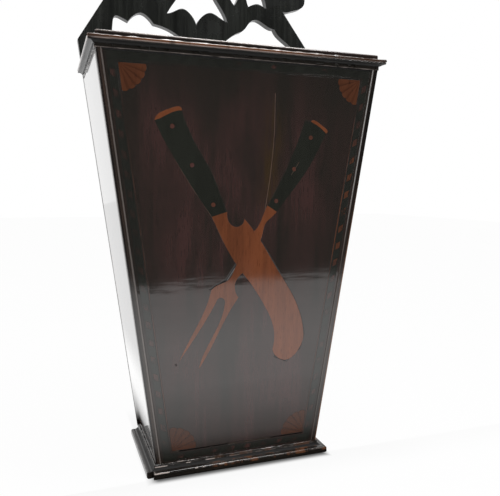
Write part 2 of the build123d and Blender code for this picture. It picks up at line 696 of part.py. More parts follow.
def cornice_section(slope):
    """Section of the cornice: outwards from the case line, and up from its bottom."""
    lip_z = CORNICE_H - LIP_T
    bead_r = LIP_BEAD / 2
    bead_x = CORNICE_OUT - LIP_BEAD_IN - bead_r
    bead_z = lip_z - LIP_BEAD
    frieze_z = bead_z - CORNICE_HOLLOW_H
    nose_start = (CORNICE_OUT - LIP_ROUND, lip_z)
    nose_end = (CORNICE_OUT - LIP_CHAMFER / 4, CORNICE_H - LIP_CHAMFER)
    curve = hollow((FRIEZE_OUT + STEP, frieze_z), (bead_x - LIP_UNDERSIDE, bead_z))
    with BuildSketch() as section:
        with BuildLine():
            case_line = [(slope * CORNICE_H, CORNICE_H), (0, 0)]
            Polyline(*case_line, (FRIEZE_OUT, 0), (FRIEZE_OUT, frieze_z), curve[0])
            ThreePointArc(*curve)
            Line(curve[-1], (bead_x, bead_z))
            ThreePointArc((bead_x, bead_z), (bead_x + bead_r, bead_z + bead_r), (bead_x, lip_z))
            Line((bead_x, lip_z), nose_start)
            ThreePointArc(nose_start, (CORNICE_OUT, (lip_z + nose_end[1]) / 2), nose_end)
            Polyline(nose_end, (CORNICE_OUT - LIP_CHAMFER, CORNICE_H), case_line[0])
        make_face()
    return section.sketch


def base_section(slope):
    """Section of the base moulding: outwards from the case line at its top, and up."""
    hollow_z = BASE_H - PLINTH_BAND_H
    nose_z = hollow_z - BASE_HOLLOW_H
    nose_start = (BASE_OUT - NOSE_R, nose_z)
    nose_middle = (BASE_OUT - NOSE_R * (1 - sin(radians(45))), nose_z - NOSE_R * (1 - cos(radians(45))))
    nose_end = (BASE_OUT, nose_z - NOSE_R)
    curve = hollow((PLINTH_BAND_OUT, hollow_z), (nose_start[0] - STEP, nose_z))
    with BuildSketch() as section:
        with BuildLine():
            band_top = [(PLINTH_BAND_OUT - WORN, BASE_H), (PLINTH_BAND_OUT, BASE_H - WORN)]
            Polyline((-slope * BASE_H, 0), (0, BASE_H), *band_top, curve[0])
            ThreePointArc(*curve)
            Line(curve[-1], nose_start)
            ThreePointArc(nose_start, nose_middle, nose_end)
            worn_foot = [(BASE_OUT, WORN * 2), (BASE_OUT - WORN, WORN), (BASE_OUT - WORN * 2, 0)]
            Polyline(nose_end, *worn_foot, (-slope * BASE_H, 0))
        make_face()
    return section.sketch


def front_moulding(section, y, z, mitre):
    with BuildPart() as moulding:
        with BuildSketch(Plane((0, y, z), (0, -1, 0), (-1, 0, 0))):
            add(section)
        extrude(amount=TOP_W, both=True)
        split(bisect_by=mitre, keep=Keep.TOP)
        split(bisect_by=mirrored_mitre(mitre), keep=Keep.TOP)
    return moulding


def mirrored_mitre(mitre):
    origin, normal = mitre.origin, mitre.z_dir
    return Plane((-origin.X, origin.Y, origin.Z), (0, 0, 1), (-normal.X, normal.Y, normal.Z))


def left_moulding(section, x, z, mitre, end_y=BACK_Y):
    with BuildPart() as moulding:
        with BuildSketch(Plane((x, end_y, z), (-1, 0, 0), (0, 1, 0))):
            add(section)
        extrude(amount=-2 * TOP_D)
        split(bisect_by=mitre, keep=Keep.BOTTOM)
    return moulding


def damaged(moulding, damage):
    """The moulding without what its damage took away."""
    with BuildPart() as rest:
        add(moulding.part)
        add(damage.part, mode=Mode.SUBTRACT)
    return rest


with BuildPart() as lip_chip:
    chip_x = -TOP_W / 2 - CORNICE_OUT + CHIP_FROM_END
    chip_y = BACK_Y - TOP_D - CORNICE_OUT - CHIP_FORWARD
    with BuildSketch(Plane((chip_x, chip_y, CASE_TOP - CHIP_DROP))):
        Ellipse(CHIP_LENGTH / 2, CHIP_R)
        split(bisect_by=Plane.XZ, keep=Keep.TOP)
    revolve(axis=Axis((chip_x, chip_y, CASE_TOP - CHIP_DROP), (1, 0, 0)))
cornice_front = front_moulding(cornice_section(FRONT_SLOPE), BACK_Y - TOP_D, CORNICE_Z, cornice_mitre)
save(damaged(cornice_front, lip_chip), "cornice_front")
cornice_left = left_moulding(cornice_section(SIDE_SLOPE), -TOP_W / 2, CORNICE_Z, cornice_mitre)
save(cornice_left, "cornice_left")
save(mirrored(cornice_left), "cornice_right")

with BuildPart() as broken_corner:
    with BuildSketch(Plane((-BOTTOM_W / 2 - BASE_OUT, BACK_Y - BOTTOM_D - BASE_OUT, 0))):
        with BuildLine():
            Polyline(*BROKEN_CORNER, close=True)
        make_face()
    extrude(amount=BASE_H)
base_front = front_moulding(base_section(FRONT_SLOPE), BACK_Y - BOTTOM_D, 0, mitre_left)
save(damaged(base_front, broken_corner), "base_front")
base_side = left_moulding(base_section(SIDE_SLOPE), -BOTTOM_W / 2, 0, mitre_left, BACK_Y - BASE_SHORT)
save(damaged(base_side, broken_corner), "base_left")
save(mirrored(base_side), "base_right")

# --- Lid ------------------------------------------------------------------------------------
with BuildPart() as lid:
    lid_front = BACK_Y - TOP_D - LID_BEYOND
    lid_depth = HINGE_Y - lid_front
    with BuildSketch(Plane.XY.offset(CASE_TOP)):
        with Locations((0, lid_front + lid_depth / 2)):
            Rectangle(TOP_W + 2 * LID_BEYOND, lid_depth)
    extrude(amount=LID_T)
    fillet(faces().sort_by(Axis.Z)[-1].edges().sort_by(Axis.Y)[:-1], LID_ROUND)
    drill(lid_leaf_screw_planes(), **LID_SCREW)
save(lid, "lid")

# --- Hinges ---------------------------------------------------------------------------------
outer_knuckle = (HINGE_W - KNUCKLE_SPLIT) / 2 - KNUCKLE_GAP
plate_start = KNUCKLE_R + KNUCKLE_GAP  # from the axis, clear of the other leaf's knuckles


def rod(x, radius, length):
    """A rod along the hinge axis, its middle at x."""
    with BuildPart() as shape:
        with BuildSketch(Plane((x, HINGE_Y, HINGE_Z), (0, 1, 0), (1, 0, 0))):
            Circle(radius)
        extrude(amount=length / 2, both=True)
    return shape.part


def knuckle_places(fixed):
    """Middle and length of the knuckles of one leaf, measured from the hinge's middle."""
    if not fixed:
        return [(0, KNUCKLE_SPLIT)]
    middle = (HINGE_W - outer_knuckle) / 2
    return [(-middle, outer_knuckle), (middle, outer_knuckle)]


def plate(middle_x, width, start, end, fixed):
    """A flat piece of a leaf between two distances from the hinge axis."""
    length = end - start
    if fixed:
        centre = (middle_x, BACK_Y - LEAF_T / 2, HINGE_Z + start + length / 2)
        size = (width, LEAF_T, length)
    else:
        centre = (middle_x, HINGE_Y - start - length / 2, LID_TOP + LEAF_T / 2)
        size = (width, length, LEAF_T)
    with Locations(centre):
        Box(*size)


def hinge_leaves(fixed, screw_planes, screw):
    """Both hinges' leaves of one kind, knuckles and all."""
    with BuildPart() as leaves:
        for x in (-HINGE_X, HINGE_X):
            plate(x, HINGE_W, plate_start, LEAF_L, fixed)
            for offset_x, length in knuckle_places(fixed):
                add(rod(x + offset_x, KNUCKLE_R, length))
                plate(x + offset_x, length, 0, plate_start, fixed)
            add(rod(x, PIN_R + PIN_CLEARANCE, 2 * HINGE_W), mode=Mode.SUBTRACT)
        drill(screw_planes, **screw)
    return leaves


fixed_leaves = hinge_leaves(True, fixed_leaf_screw_planes(), BACK_SCREW)
save(fixed_leaves, "hinge_fixed_leaves")
lid_leaves = hinge_leaves(False, lid_leaf_screw_planes(), LID_SCREW)
save(lid_leaves, "hinge_lid_leaves")

with BuildPart() as hinge_pins:
    for x in (-HINGE_X, HINGE_X):
        add(rod(x, PIN_R, HINGE_W))
save(hinge_pins, "hinge_pins")

# --- Screws and nails -----------------------------------------------------------------------
with BuildPart() as fixed_leaf_screws:
    drive(fixed_leaf_screw_planes(), **BACK_SCREW)
save(fixed_leaf_screws, "fixed_leaf_screws")

with BuildPart() as lid_leaf_screws:
    drive(lid_leaf_screw_planes(), **LID_SCREW)
save(lid_leaf_screws, "lid_leaf_screws")

with BuildPart() as backboard_nails:
    drive(back_nail_planes())
save(backboard_nails, "backboard_nails")

with BuildPart() as bottom_nails:
    drive(bottom_nail_planes())
save(bottom_nails, "bottom_nails")
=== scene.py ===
"""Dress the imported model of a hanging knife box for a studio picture.

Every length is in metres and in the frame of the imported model: +X to the right of the inlaid
front, -Y towards the viewer of that front and +Z up, with the origin on the floor.
"""
import math

import bpy
from bpy.props import FloatProperty, FloatVectorProperty, PointerProperty
from bpy.types import Operator, Panel, PropertyGroup
from mathutils import Matrix, Vector


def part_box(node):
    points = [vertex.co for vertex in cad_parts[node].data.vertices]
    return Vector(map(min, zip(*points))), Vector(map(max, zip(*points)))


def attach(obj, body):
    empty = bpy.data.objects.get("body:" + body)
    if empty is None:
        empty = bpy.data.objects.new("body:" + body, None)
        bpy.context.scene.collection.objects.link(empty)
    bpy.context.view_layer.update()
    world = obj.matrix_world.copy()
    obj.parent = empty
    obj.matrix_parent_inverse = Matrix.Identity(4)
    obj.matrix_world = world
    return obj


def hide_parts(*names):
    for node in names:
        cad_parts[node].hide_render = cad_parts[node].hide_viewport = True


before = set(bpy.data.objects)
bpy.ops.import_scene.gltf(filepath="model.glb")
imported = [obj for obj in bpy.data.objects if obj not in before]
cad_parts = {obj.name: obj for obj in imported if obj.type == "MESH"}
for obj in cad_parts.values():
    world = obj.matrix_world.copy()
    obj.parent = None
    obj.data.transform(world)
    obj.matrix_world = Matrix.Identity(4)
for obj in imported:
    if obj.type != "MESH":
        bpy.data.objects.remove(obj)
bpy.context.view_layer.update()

bl_info = {
    "name": "Knife Box Dressing",
    "version": (1, 0, 0),
    "blender": (4, 5, 0),
    "location": "3D View > Sidebar > Knife Box",
    "description": "Old polish, worn edges and inlay woods for a hanging knife box",
    "category": "Object",
}

MM = 0.001
FOOT_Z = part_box("base_front")[1].z  # top of the base moulding
NECK_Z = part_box("cornice_front")[0].z  # bottom of the cornice
MIDDLE_Z = (FOOT_Z + NECK_Z) / 2
TAPER = 0.1313  # how much wider the case gets at each side, for its height
HALF_FOOT = 92.1 * MM  # half the case's width at the base moulding
SIDE_BOARD = 8.0 * MM  # thickness of the sides
FRONT_BOARD = 9.0 * MM  # thickness of the front
RELIEF = 0.09 * MM  # height of the unevenness in old polish
HINGE_STEEL = (0.34, 0.33, 0.32)  # colour of the hinge pins


# --- Settings -------------------------------------------------------------------------------
def tone(name, default, description):
    """A colour that a user may change."""
    return FloatVectorProperty(
        name=name, description=description, subtype="COLOR", size=3, min=0, max=1, default=default
    )


class PolishSettings(PropertyGroup):
    """Colours of the woods and metals."""

    ground: tone("Front", (0.0185, 0.0158, 0.0125), "Darkest tone of the old mahogany front")
    figure: tone("Figure", (0.058, 0.0270, 0.0245), "Redder figure in the mahogany")
    faded: tone("Faded stripe", (0.044, 0.026, 0.0095), "Browner wood beside the old crack")
    crack: tone("Crack", (0.115, 0.075, 0.058), "Filler in the old crack")
    side: tone("Sides", (0.075, 0.036, 0.026), "Mahogany of the sides and the lid")
    moulding: tone("Mouldings", (0.022, 0.0175, 0.0140), "Mahogany of the cornice and base")
    # Also paints the highlights along the arrises of the lid, cornice, base and left bead.
    rubbed_and_highlight: tone("Rubbed edge", (0.58, 0.50, 0.46), "Edge where the polish is rubbed off")
    # Painted highlight that runs down the right bead.
    bead_highlight: tone("Worn white", (0.38, 0.37, 0.36), "Filler that shows along the right bead")
    bare: tone("Bare edge", (0.16, 0.060, 0.024), "Wood that shows beside a rubbed edge")
    bead: tone("Beads", (0.050, 0.030, 0.022), "Corner beads")
    # Also paints the shade under the cornice and in the hollows of the cornice and base.
    grime_and_shade: tone("Grime", (0.0035, 0.0030, 0.0025), "Dirt in the corners of the mouldings")
    ebony: tone("Backboard", (0.0120, 0.0130, 0.0115), "Blackened backboard")
    old_back: tone("Back", (0.075, 0.048, 0.030), "Dusty wood that was never polished, on the back")
    inside: tone("Inside", (0.185, 0.105, 0.062), "Bare wood inside the box, darkened by hands and dust")
    fruitwood: tone("Fruitwood", (0.200, 0.060, 0.023), "Knife blade and fork")
    fruitwood_shade: tone("Fruitwood shade", (0.120, 0.038, 0.0155), "Darker streaks of the fruitwood")
    handle: tone("Handles", (0.0140, 0.0150, 0.0115), "Greenish black handles")
    rivet: tone("Rivets", (0.085, 0.036, 0.033), "Rivets of the handles")
    fan: tone("Fans", (0.115, 0.038, 0.0165), "Sand-shaded fans")
    string: tone("Stringing", (0.080, 0.036, 0.026), "Thin lines")
    check: tone("Checks", (0.070, 0.031, 0.026), "Light checks of the banding")
    band: tone("Banding", (0.0155, 0.0160, 0.0130), "Dark ground of the banding")
    pine: tone("Pine", (0.36, 0.22, 0.115), "Bare wood inside")
    brass: tone("Brass", (0.46, 0.32, 0.13), "Hinges and their screws")
    iron: tone("Iron", (0.060, 0.046, 0.038), "Nails")


class WearSettings(PropertyGroup):
    """Sizes of the wear."""

    arris: FloatProperty(
        name="Rounded edge",
        description="Radius that handling left on sharp edges",
        unit="LENGTH",
        default=0.5 * MM,
    )
    knock_size: FloatProperty(
        name="Knock size", description="Length of the knocks along an edge", unit="LENGTH", default=7 * MM
    )
    knock_depth: FloatProperty(
        name="Knock depth", description="How deep the deepest knock goes", unit="LENGTH", default=0.6 * MM
    )
    crack_width: FloatProperty(
        name="Crack", description="Width of the filled crack in the front", unit="LENGTH", default=0.7 * MM
    )


class StageSettings(PropertyGroup):
    """Camera, floor and lamps."""

    lens: FloatProperty(name="Lens", description="Focal length in millimetres", default=41.214)
    eye: FloatVectorProperty(
        name="Eye",
        description="Place of the camera",
        subtype="TRANSLATION",
        default=(-0.1923, -0.6253, 0.2974),
    )
    turn: FloatProperty(
        name="Turn", description="To the right of +Y", subtype="ANGLE", default=math.radians(19.632)
    )
    dip: FloatProperty(
        name="Dip", description="Below the horizon", subtype="ANGLE", default=math.radians(5.728)
    )
    roll: FloatProperty(
        name="Roll", description="Tilt of the camera", subtype="ANGLE", default=math.radians(0.205)
    )
    floor_front: FloatProperty(
        name="Front of the floor", description="Where the pale sheet ends", unit="LENGTH", default=-0.748
    )
    floor_reach: FloatProperty(
        name="Floor behind", description="How far the sheet runs back", unit="LENGTH", default=6.0
    )
    overhead: FloatProperty(name="Overhead lamp", description="Power of the soft lamp above", default=9.0)
    fill: FloatProperty(name="Fill lamp", description="Power of the soft lamp at the left", default=9.0)
    air: FloatProperty(name="Air", description="Even light from all round", default=0.40)
    mirrored: FloatProperty(
        name="Sheet in the polish",
        description="Brightness of the sheet where polished wood mirrors it",
        default=1.2,
    )
    contact: FloatProperty(
        name="Contact shadow",
        description="Reach of the dark line in front of the base",
        unit="LENGTH",
        default=10 * MM,
    )
    shade: FloatProperty(
        name="Shade", description="Reach of the soft shadow round the base", unit="LENGTH", default=60 * MM
    )


# --- Shader maths ---------------------------------------------------------------------------
class Value:
    """A socket that takes part in sums; each sum adds a Math node."""

    def __init__(self, nodes, socket):
        self.nodes = nodes
        self.socket = socket

    def math(self, operation, *values):
        """A Math node on these values, in this order."""
        return self.nodes.node("Math", {"operation": operation}, dict(enumerate(values)))

    def __add__(self, other):
        return self.math("ADD", self, other)

    def __sub__(self, other):
        return self.math("SUBTRACT", self, other)

    def __mul__(self, other):
        return self.math("MULTIPLY", self, other)

    def __rsub__(self, other):
        return self.math("SUBTRACT", other, self)

    def __or__(self, other):
        """The larger of two values, or the union of two masks."""
        return self.math("MAXIMUM", self, other)

    def __abs__(self):
        return self.math("ABSOLUTE", self)

    def angle_over(self, right):
        """Angle above the horizontal of a point at this height and that far to the right."""
        return self.math("ARCTAN2", self, right)

    def fraction(self):
        """What is left above the whole number below."""
        return self.math("FRACT", self)

    def between(self, low, high):
        """0 below low and 1 above high, with a soft rise; low may be the larger."""
        kind = {"interpolation_type": "SMOOTHSTEP", "clamp": True}
        if low < high:
            return self.nodes.node("MapRange", kind, {"Value": self, "From Min": low, "From Max": high})
        return 1 - self.between(high, low)


class Nodes:
    """A node tree that starts empty."""

    def __init__(self, tree):
        self.tree = tree
        self.tree.nodes.clear()

    def node(self, kind, settings=None, inputs=None, output=0):
        """Add a node: its settings first, then the values or links of its sockets."""
        made = self.tree.nodes.new("ShaderNode" + kind)
        for name, value in (settings or {}).items():
            if name == "stops":
                self.fill_ramp(made.color_ramp, value)
            else:
                setattr(made, name, value)
        for name, value in (inputs or {}).items():
            self.plug(made.inputs[name], value)
        return Value(self, made.outputs[output])

    def plug(self, socket, value):
        """Give a socket a link or a plain value."""
        if isinstance(value, Value):
            self.tree.links.new(value.socket, socket)
        elif socket.type == "RGBA" and len(value) == 3:
            socket.default_value = (*value, 1)
        else:
            socket.default_value = value

    def fill_ramp(self, ramp, stops):
        """Set the stops of a colour ramp."""
        (first, first_colour), *others = stops
        ramp.elements.remove(ramp.elements[1])
        ramp.elements[0].position = first
        ramp.elements[0].color = (*first_colour, 1)
        for place, colour in others:
            ramp.elements.new(place).color = (*colour, 1)

    def split(self, vector):
        """The three numbers of a vector."""
        parts = self.tree.nodes.new("ShaderNodeSeparateXYZ")
        self.plug(parts.inputs[0], vector)
        return [Value(self, socket) for socket in parts.outputs]


class Finish(Nodes):
    """A material, its Principled shader and the nodes that feed it."""

    def __init__(self, name, roughness=0.3, **sockets):
        self.material = bpy.data.materials.new(name)
        self.material.use_nodes = True
        super().__init__(self.material.node_tree)
        self.shader = self.tree.nodes.new("ShaderNodeBsdfPrincipled")
        self.output = self.tree.nodes.new("ShaderNodeOutputMaterial")
        self.tree.links.new(self.shader.outputs["BSDF"], self.output.inputs["Surface"])
        self.feed(Roughness=roughness, **sockets)

    def feed(self, **sockets):
        """Fill sockets of the Principled shader."""
        for name, value in sockets.items():
            self.plug(self.shader.inputs[name], value)

    def place(self, stretch=(1, 1, 1)):
        """Object coordinates, stretched."""
        where = self.node("TexCoord", output="Object")
        return self.node("Mapping", None, {"Vector": where, "Scale": stretch})

    def axes(self):
        """Object coordinates as three numbers."""
        return self.split(self.node("TexCoord", output="Object"))

    def noise(self, where, scale, detail, roughness, distortion=0.0):
        """Cloudy noise from 0 to 1."""
        values = {"Vector": where, "Scale": scale, "Detail": detail, "Roughness": roughness}
        values["Distortion"] = distortion
        return self.node("TexNoise", None, values, "Fac")

    def mix(self, share, first, second):
        """Two colours mixed by a share."""
        kind = {"data_type": "RGBA", "clamp_factor": True}
        return self.node("Mix", kind, {0: share, 6: first, 7: second}, 2)

    def bump(self, height, depth, strength=1.0, radius=0.0):
        """Relief of a depth in metres, on edges that are rounded by a radius."""
        sockets = {"Height": height, "Distance": depth, "Strength": strength}
        if radius:
            sockets["Normal"] = self.node("Bevel", {"samples": 6}, {"Radius": radius})
        self.feed(Normal=self.node("Bump", None, sockets))


LEAVES = 5  # in each fan
GRAIN_STRETCH = 0.035  # width of the grain's streaks, as a share of their length


def along(axis):
    """Scale of a pattern that runs along one axis."""
    return [GRAIN_STRETCH if name == axis else 1.0 for name in "XYZ"]


class Wood(Finish):
    """Old wood with its grain along an axis: streaks, figure, open pores and handled polish."""

    def __init__(self, name, dark, light, grain, roughness, radius=0.0, gloss=1.0, **sockets):
        super().__init__(name, **{"Specular IOR Level": gloss}, **sockets)
        self.radius = radius
        self.dark = dark
        self.x, self.y, self.z = self.axes()
        fibre = self.place(along(grain))
        self.streak = self.noise(fibre, 170, 4, 0.6, 0.3)
        fine = self.noise(fibre, 900, 3, 0.6)
        self.cloud = self.noise(self.place([math.sqrt(s) for s in along(grain)]), 22, 3, 0.6, 0.8)
        pore = self.noise(fibre, 1500, 2, 0.5).between(0.60, 0.70)
        self.share = (self.streak * 0.45 + fine * 0.25 + self.cloud * 0.75 - 0.22).between(0.30, 0.72)
        self.colour = self.mix(self.share, dark, light)
        self.pore = pore * 0.6
        smear = self.noise(self.place(), 34, 4, 0.62)
        self.rough = smear.between(0.2, 0.9) * roughness + roughness * 0.6
        ripple = self.noise(self.place(), 46, 2, 0.5)
        self.height = ripple * 0.55 + self.streak * 0.20 + fine * 0.08 - pore * 0.10

    def paint(self, mask, colour):
        """Lay a colour over what is there."""
        self.colour = self.mix(mask, self.colour, colour)
        return self

    def dull(self, mask, roughness):
        """Take the shine off a place."""
        self.rough = self.rough + mask * roughness
        return self

    def spots(self, scale, low, high, stretch=(1, 1, 1)):
        """Broken patches, as wear leaves them."""
        return self.noise(self.place(stretch), scale, 4, 0.65).between(low, high)

    def from_side(self):
        """Distance inwards from the tapering side of the case."""
        return self.z * TAPER + (HALF_FOOT - FOOT_Z * TAPER) - abs(self.x)

    def line(self, points, width):
        """Mask of a line on the front; its points are in millimetres from the front's middle."""
        mask = None
        for (x0, z0), (x1, z1) in zip(points, points[1:]):
            length = math.hypot(x1 - x0, z1 - z0)
            run = ((x1 - x0) / length, (z1 - z0) / length)
            right = self.x - x0 * MM
            up = self.z - (MIDDLE_Z + z0 * MM)
            forward = right * run[0] + up * run[1]
            across = abs(right * run[1] - up * run[0])
            ends = forward.between(-width / 2, 0) * forward.between(length * MM + width / 2, length * MM)
            part = across.between(width * 0.75, width * 0.35) * ends
            mask = part if mask is None else mask | part
        return mask

    def from_to(self, foot, head):
        """Mask of a range of heights, with a soft foot and a soft head."""
        return self.z.between(*foot) * self.z.between(*head)

    def cornice_shade_line(self):
        """Mask of the painted shadow line right under the cornice."""
        return self.z.between(NECK_Z - 2.2 * MM, NECK_Z - 0.8 * MM)

    def bare(self, mask, polish):
        """Wood that was never polished, where a mask says so."""
        darker = [0.5 * value for value in polish.inside]
        bare = self.mix(self.share * 0.6 + self.cloud * 0.4, darker, polish.inside)
        return self.paint(mask, bare).dull(mask, 0.45)

    def done(self):
        """Feed the shader."""
        colour = self.mix(self.pore, self.colour, [0.35 * value for value in self.dark])
        self.feed(**{"Base Color": colour, "Roughness": self.rough})
        self.bump(self.height, RELIEF, radius=self.radius)
        return self


# --- Helpers for pieces ---------------------------------------------------------------------
def assign(finish, *nodes):
    """Give CAD nodes a finish."""
    for name in nodes:
        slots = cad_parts[name].data.materials
        slots.clear()
        slots.append(finish.material)


def settings(context):
    """The three groups of settings."""
    return context.scene.knife_box_polish, context.scene.knife_box_wear, context.scene.knife_box_stage


class Step(Operator):
    """A step of the dressing."""

    bl_options = {"REGISTER", "UNDO"}


# --- Boards ---------------------------------------------------------------------------------
WARP = 0.076  # how far the front has wound out of true, in metres for a square metre
VEIL_Z = 0.19  # height at which it is still true
# The browner stripe beside the crack: its upper end, how it bends, and where its ends fade.
STRIPE_X = 29.5 * MM
STRIPE_TOP = 0.385
STRIPE_BEND = 0.62
STRIPE_ENDS = ((0.268, 0.30), (0.402, 0.365))
# Lines on the front, in millimetres from its middle.
CRACK = [(29.6, 176), (30.0, 140), (28.9, 118), (26.6, 92), (24.2, 74), (22.0, 58)]
SCRATCH = [(87.1, -17), (80.5, -26), (73.5, -37.5)]
HANDLE_SCRATCH = [(58.5, 108), (50.5, 95)]
# A painted highlight along the blade's left edge.
BLADE_EDGE_HIGHLIGHT = [(-72.9, 108.4), (-54.5, 79.7), (-34.9, 52.0), (-23.3, 28.2), (-9.0, 3.7), (8.4, -18.8)]
BLADE_TIP = [(68.0, -59.8), (72.0, -77), (68, -94), (52, -107.5), (38, -101)]
OPEN_EDGE = [(11.7, 35.5), (35.4, -0.8), (59.2, -38.5), *BLADE_TIP]
FORK_SHADOW = [(-3.5, 8.4), (-10.5, -1.4), (-18.5, -13.4), (-27.0, -17.4), (-36.0, -22.4)]
TINE_PLUG = [(-71.2, -99.6), (-70.6, -100.6)]


class KNIFEBOX_OT_boards(Step):
    """Polish the front, the sides and the lid"""

    bl_idname = "knife_box.boards"
    bl_label = "Boards"

    def execute(self, context):
        polish, wear, _ = settings(context)
        assign(self.front_finish(polish, wear), "front_board")
        assign(self.side_finish(polish, wear), "left_side", "right_side")
        assign(self.lid_finish(polish, wear), "lid")
        pine = Wood("bare_pine", [0.6 * value for value in polish.pine], polish.pine, "X", 0.6, gloss=0.3)
        assign(pine.done(), "bottom_board", "glue_blocks")
        return {"FINISHED"}

    def front_finish(self, polish, wear):
        """The front's own finish, with its old crack and the browner wood beside it."""
        front = Wood("front_mahogany", polish.ground, polish.figure, "Z", 0.075, wear.arris / 2)
        warp = front.x * (front.z - VEIL_Z) * (WARP / RELIEF)
        swell = front.noise(front.place((0.5, 1, 1)), 26, 2, 0.5)
        brushed = front.noise(front.place((0.12, 1, 1)), 52, 3, 0.6)
        front.height = front.height + warp + swell * 2.6 + brushed * 1.6
        inner = front.from_side().between(0.012, 0.045) * 0.55 + 0.45
        # Painted reflection: the figure shows redder below the top, where the polish mirrors more of the dim
        # room.
        lower = front.z.between(0.415, 0.350) * 0.75 + 0.25
        patch = front.noise(front.place((1, 1, 0.5)), 15, 2, 0.5).between(0.30, 0.62) * 0.6 + 0.4
        front.colour = front.mix(front.share * inner * lower * patch, polish.ground, polish.figure)
        rise = front.z - STRIPE_TOP
        bent = front.x + rise * rise * STRIPE_BEND - STRIPE_X
        beside = abs(bent).between(17 * MM, 3 * MM) * front.streak.between(0.40, 0.62) * 0.85
        front.paint(beside * front.from_to(*STRIPE_ENDS), polish.faded)
        front.paint(front.line(CRACK, wear.crack_width) * 0.85, polish.crack)
        # Painted highlight along the blade's left edge, in the crack's filler colour.
        front.paint(front.line(BLADE_EDGE_HIGHLIGHT, 0.8 * MM) * front.spots(90, 0.40, 0.55), polish.crack)
        shadow = front.line(OPEN_EDGE, 1.4 * MM) | front.line(FORK_SHADOW, 1.6 * MM)
        shadow = shadow | front.line(TINE_PLUG, 1.5 * MM)
        front.paint(shadow * 0.8, polish.grime_and_shade)
        front.height = front.height - shadow * 5
        front.paint(front.line(SCRATCH, 0.5 * MM) * 0.7, polish.grime_and_shade)
        # Painted shadow line under the cornice, also made duller.
        cornice_shade = front.cornice_shade_line()
        front.paint(cornice_shade, polish.grime_and_shade).dull(cornice_shade, 0.4)
        low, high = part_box("front_board")
        lean = (high.y - FRONT_BOARD - low.y) / (high.z - low.z)
        depth = front.y + front.z * lean - (low.y + lean * high.z)
        front.bare(depth.between(FRONT_BOARD - 1.6 * MM, FRONT_BOARD - 0.8 * MM), polish)
        return front.done()

    def side_finish(self, polish, wear):
        """Thickly polished sides."""
        coat = {"Coat Weight": 1.0, "Coat Roughness": 0.05}
        side = Wood("side_mahogany", polish.ground, polish.side, "Z", 0.06, wear.arris, **coat)
        inner = side.from_side().between(SIDE_BOARD - 1.6 * MM, SIDE_BOARD - 0.8 * MM)
        side.bare(inner, polish).feed(**{"Coat Weight": 1 - inner})
        return side.done()

    def lid_finish(self, polish, wear):
        """The lid, with a painted highlight along its front arris and its front edge painted darker."""
        lid = Wood("lid_mahogany", polish.ground, polish.side, "X", 0.10, wear.arris)
        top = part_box("lid")[1].z
        front_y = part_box("lid")[0].y
        upper = lid.z.between(top - 2.2 * MM, top - 1.2 * MM)
        rim = upper * lid.y.between(front_y + 2.6 * MM, front_y + 1.6 * MM)
        # Painted highlight along the lid's front arris, broken like rubbed polish.
        lid.paint(rim * highlight_run(lid), polish.rubbed_and_highlight)
        # The lid's front edge is painted darker.
        lid.paint(lid.y.between(front_y + 0.6 * MM, front_y) * 0.7, polish.grime_and_shade)
        return lid.done()


def highlight_run(wood):
    """Where along the front the painted highlights on the arrises fall, broken in patches like rubbed
    polish.
    """
    middle = wood.x.between(-0.170, -0.09) * wood.x.between(0.11, 0.02)
    return (middle * 0.75 + 0.25) * (wood.spots(70, 0.34, 0.50, (1, 0, 0)) * 0.75 + 0.25)


class KNIFEBOX_OT_backboard(Step):
    """Blacken the pierced backboard"""

    bl_idname = "knife_box.backboard"
    bl_label = "Backboard"

    def execute(self, context):
        polish, _, _ = settings(context)
        darker = [0.6 * value for value in polish.ebony]
        paler = [2.6 * value for value in polish.ebony]
        black = Wood("ebonised", darker, paler, "Z", 0.24, 0.8 * MM, gloss=0.6)
        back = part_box("backboard")[1].y
        bare = black.y.between(back - 1.5 * MM, back - 0.3 * MM)
        stain = black.spots(14, 0.35, 0.65, (1, 1, 0.4)) * 0.6 + black.streak.between(0.35, 0.65) * 0.4
        black.paint(bare * stain * 0.8, polish.old_back).dull(bare, 0.35)
        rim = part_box("cornice_front")[1].z
        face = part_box("backboard")[0].y
        below_rim = black.z.between(rim + 0.4 * MM, rim - 0.4 * MM)
        black.bare(black.y.between(face + 1.5 * MM, face + 0.7 * MM) * below_rim, polish)
        assign(black.done(), "backboard")
        return {"FINISHED"}


# For each arris of the base: how far below the top it lies and half its width, both in millimetres, and how
# strongly its painted glint and rubbed wear show.
BASE_ARRIS_GLINTS = ((0.1, 0.35, 0.45), (2.5, 0.30, 0.8), (6.0, 0.35, 0.9))


